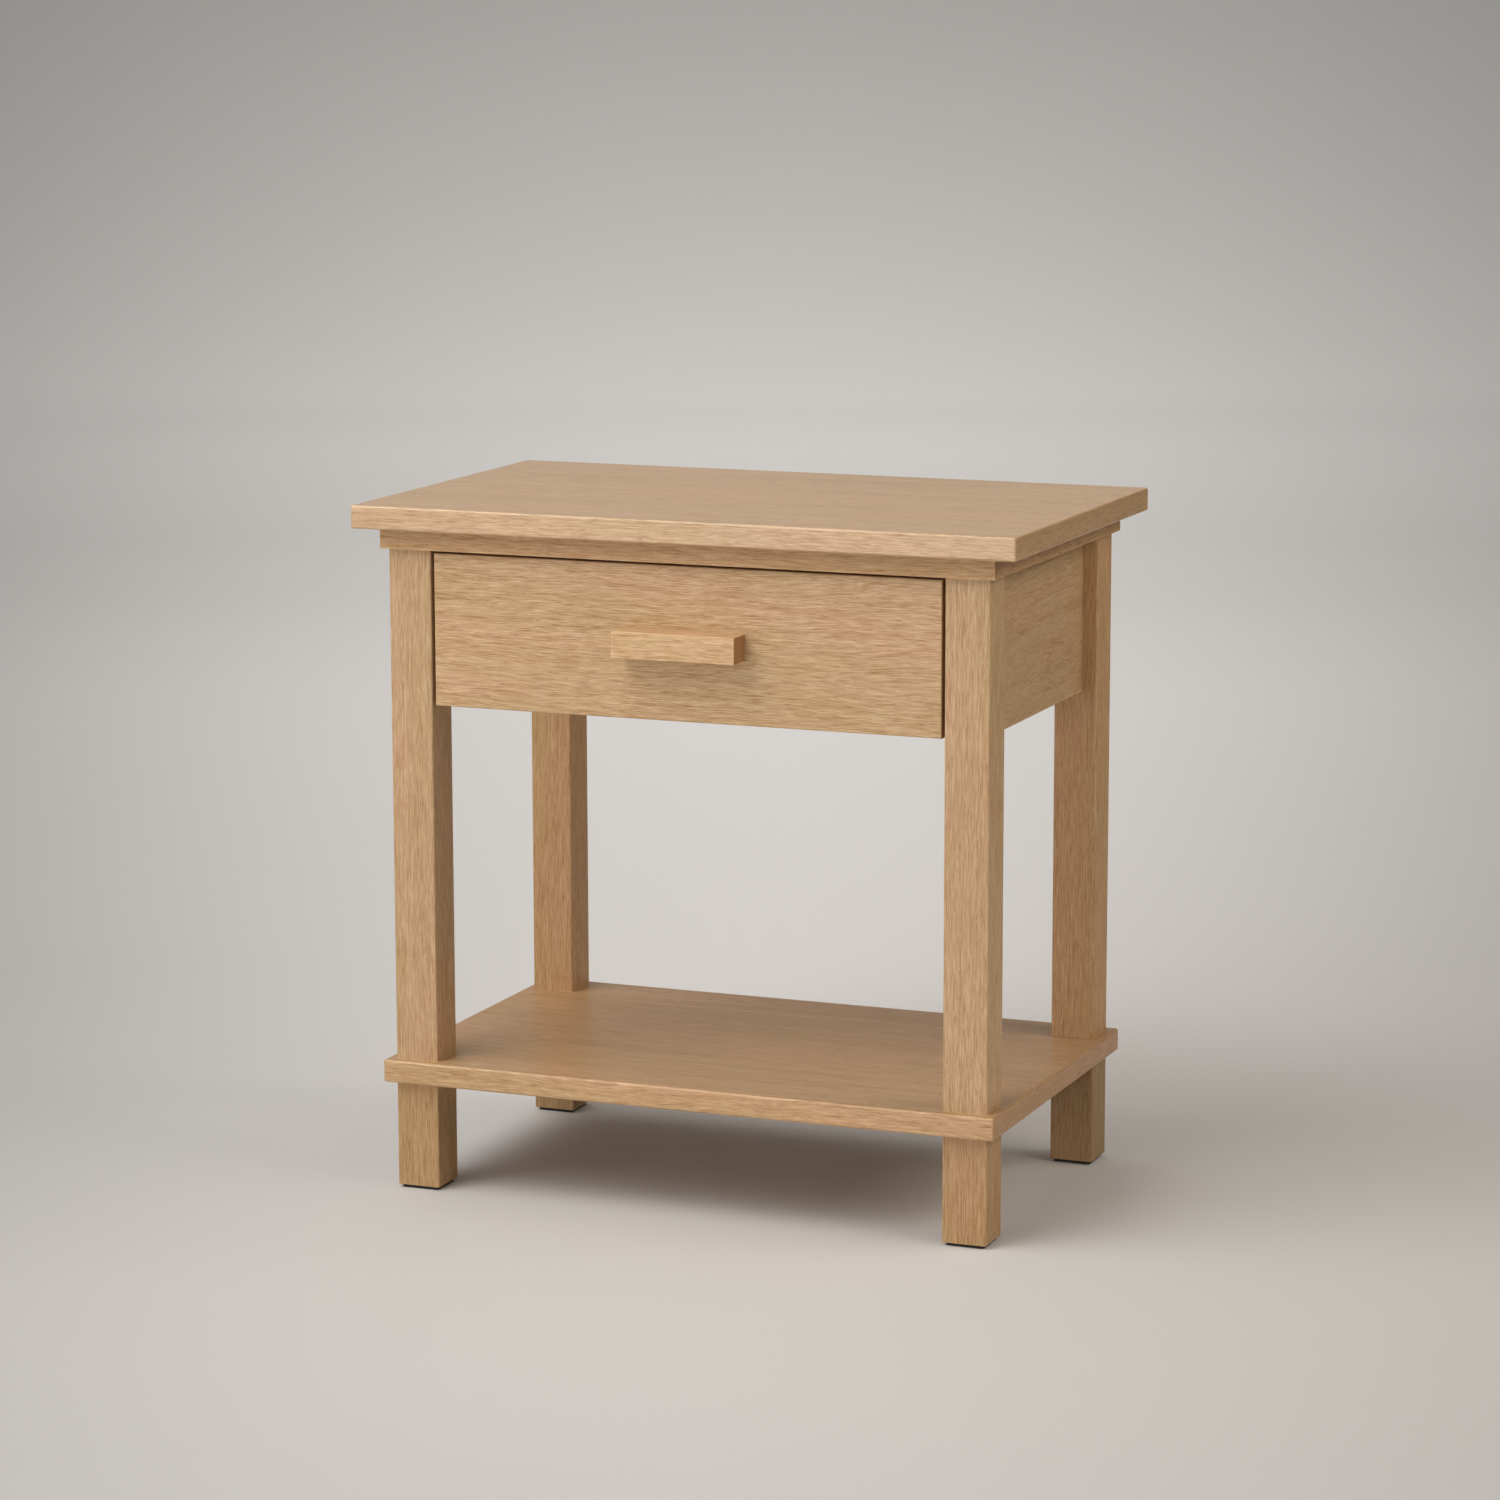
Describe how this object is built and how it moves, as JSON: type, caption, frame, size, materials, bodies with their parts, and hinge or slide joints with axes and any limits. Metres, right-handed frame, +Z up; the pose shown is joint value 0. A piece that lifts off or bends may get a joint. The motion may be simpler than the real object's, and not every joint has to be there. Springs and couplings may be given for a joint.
{
  "type": "side table",
  "caption": "Oak side table with a drawer on ball-bearing slides, a low open shelf, square legs and foot blocks on thin pads.",
  "frame": {"origin": "on the floor, under the centre of the table top", "axes": "+Z up, -Y the way the drawer opens, +X to the right as seen from the front"},
  "size_m": [0.656, 0.404, 0.66],
  "materials": {
    "oak": "clear satin lacquer",
    "inner_wood": "sanded, thin lacquer",
    "drawer_box_wood": "sanded, thin lacquer",
    "plywood": "sanded plywood",
    "slide_steel": "zinc plated",
    "cage_steel": "bright steel",
    "fastener_steel": "zinc plated",
    "dowel_beech": "raw",
    "pad_rubber": "matt"
  },
  "bodies": {
    "case": {"table_top": "oak", "shelf": "oak", "back_panel": "oak", "top_frame_front": "oak", "top_frame_back": "oak", "top_frame_left": "oak", "top_frame_right": "oak", "leg_front_left": "oak", "leg_front_right": "oak", "leg_back_left": "oak", "leg_back_right": "oak", "foot_front_left": "oak", "foot_front_right": "oak", "foot_back_left": "oak", "foot_back_right": "oak", "side_panel_left": "oak", "side_panel_right": "oak", "front_rail": "inner_wood", "slide_cleat_left": "inner_wood", "slide_cleat_right": "inner_wood", "slide_rail_left": "slide_steel", "slide_rail_right": "slide_steel", "frame_screws": "fastener_steel", "top_screws": "fastener_steel", "cleat_screws": "fastener_steel", "slide_rail_screws": "fastener_steel", "pad_screws": "fastener_steel", "leg_studs": "fastener_steel", "side_panel_dowels": "dowel_beech", "back_panel_dowels": "dowel_beech", "front_rail_dowels": "dowel_beech", "mitre_biscuits": "dowel_beech", "foot_pad_front_left": "pad_rubber", "foot_pad_front_right": "pad_rubber", "foot_pad_back_left": "pad_rubber", "foot_pad_back_right": "pad_rubber"},
    "drawer": {"drawer_box_front": "drawer_box_wood", "drawer_box_back": "drawer_box_wood", "drawer_side_left": "drawer_box_wood", "drawer_side_right": "drawer_box_wood", "drawer_bottom": "plywood", "drawer_front": "oak", "drawer_pull": "oak", "drawer_front_screws": "fastener_steel", "pull_screws": "fastener_steel", "slide_runner_screws": "fastener_steel", "slide_runner_left": "slide_steel", "slide_runner_right": "slide_steel"},
    "slide_middle_left": {"slide_middle_left": "slide_steel"},
    "cage_outer_left": {"slide_cage_outer_left": "cage_steel"},
    "cage_inner_left": {"slide_cage_inner_left": "cage_steel"},
    "slide_middle_right": {"slide_middle_right": "slide_steel"},
    "cage_outer_right": {"slide_cage_outer_right": "cage_steel"},
    "cage_inner_right": {"slide_cage_inner_right": "cage_steel"}
  },
  "joints": [
    {"name": "drawer_slide", "type": "slide", "parent": "case", "child": "drawer", "axis": [0, -1, 0], "range_m": [0, 0.3]},
    {"name": "slide_middle_left_travel", "type": "slide", "parent": "case", "child": "slide_middle_left", "axis": [0, -1, 0], "range_m": [0, 0.15]},
    {"name": "cage_outer_left_travel", "type": "slide", "parent": "case", "child": "cage_outer_left", "axis": [0, -1, 0], "range_m": [0, 0.075]},
    {"name": "cage_inner_left_travel", "type": "slide", "parent": "case", "child": "cage_inner_left", "axis": [0, -1, 0], "range_m": [0, 0.225]},
    {"name": "slide_middle_right_travel", "type": "slide", "parent": "case", "child": "slide_middle_right", "axis": [0, -1, 0], "range_m": [0, 0.15]},
    {"name": "cage_outer_right_travel", "type": "slide", "parent": "case", "child": "cage_outer_right", "axis": [0, -1, 0], "range_m": [0, 0.075]},
    {"name": "cage_inner_right_travel", "type": "slide", "parent": "case", "child": "cage_inner_right", "axis": [0, -1, 0], "range_m": [0, 0.225]}
  ],
  "couplings": [
    {"joint": "slide_middle_left_travel", "follows": "drawer_slide", "ratio": 0.5},
    {"joint": "cage_outer_left_travel", "follows": "drawer_slide", "ratio": 0.25},
    {"joint": "cage_inner_left_travel", "follows": "drawer_slide", "ratio": 0.75},
    {"joint": "slide_middle_right_travel", "follows": "drawer_slide", "ratio": 0.5},
    {"joint": "cage_outer_right_travel", "follows": "drawer_slide", "ratio": 0.25},
    {"joint": "cage_inner_right_travel", "follows": "drawer_slide", "ratio": 0.75}
  ]
}
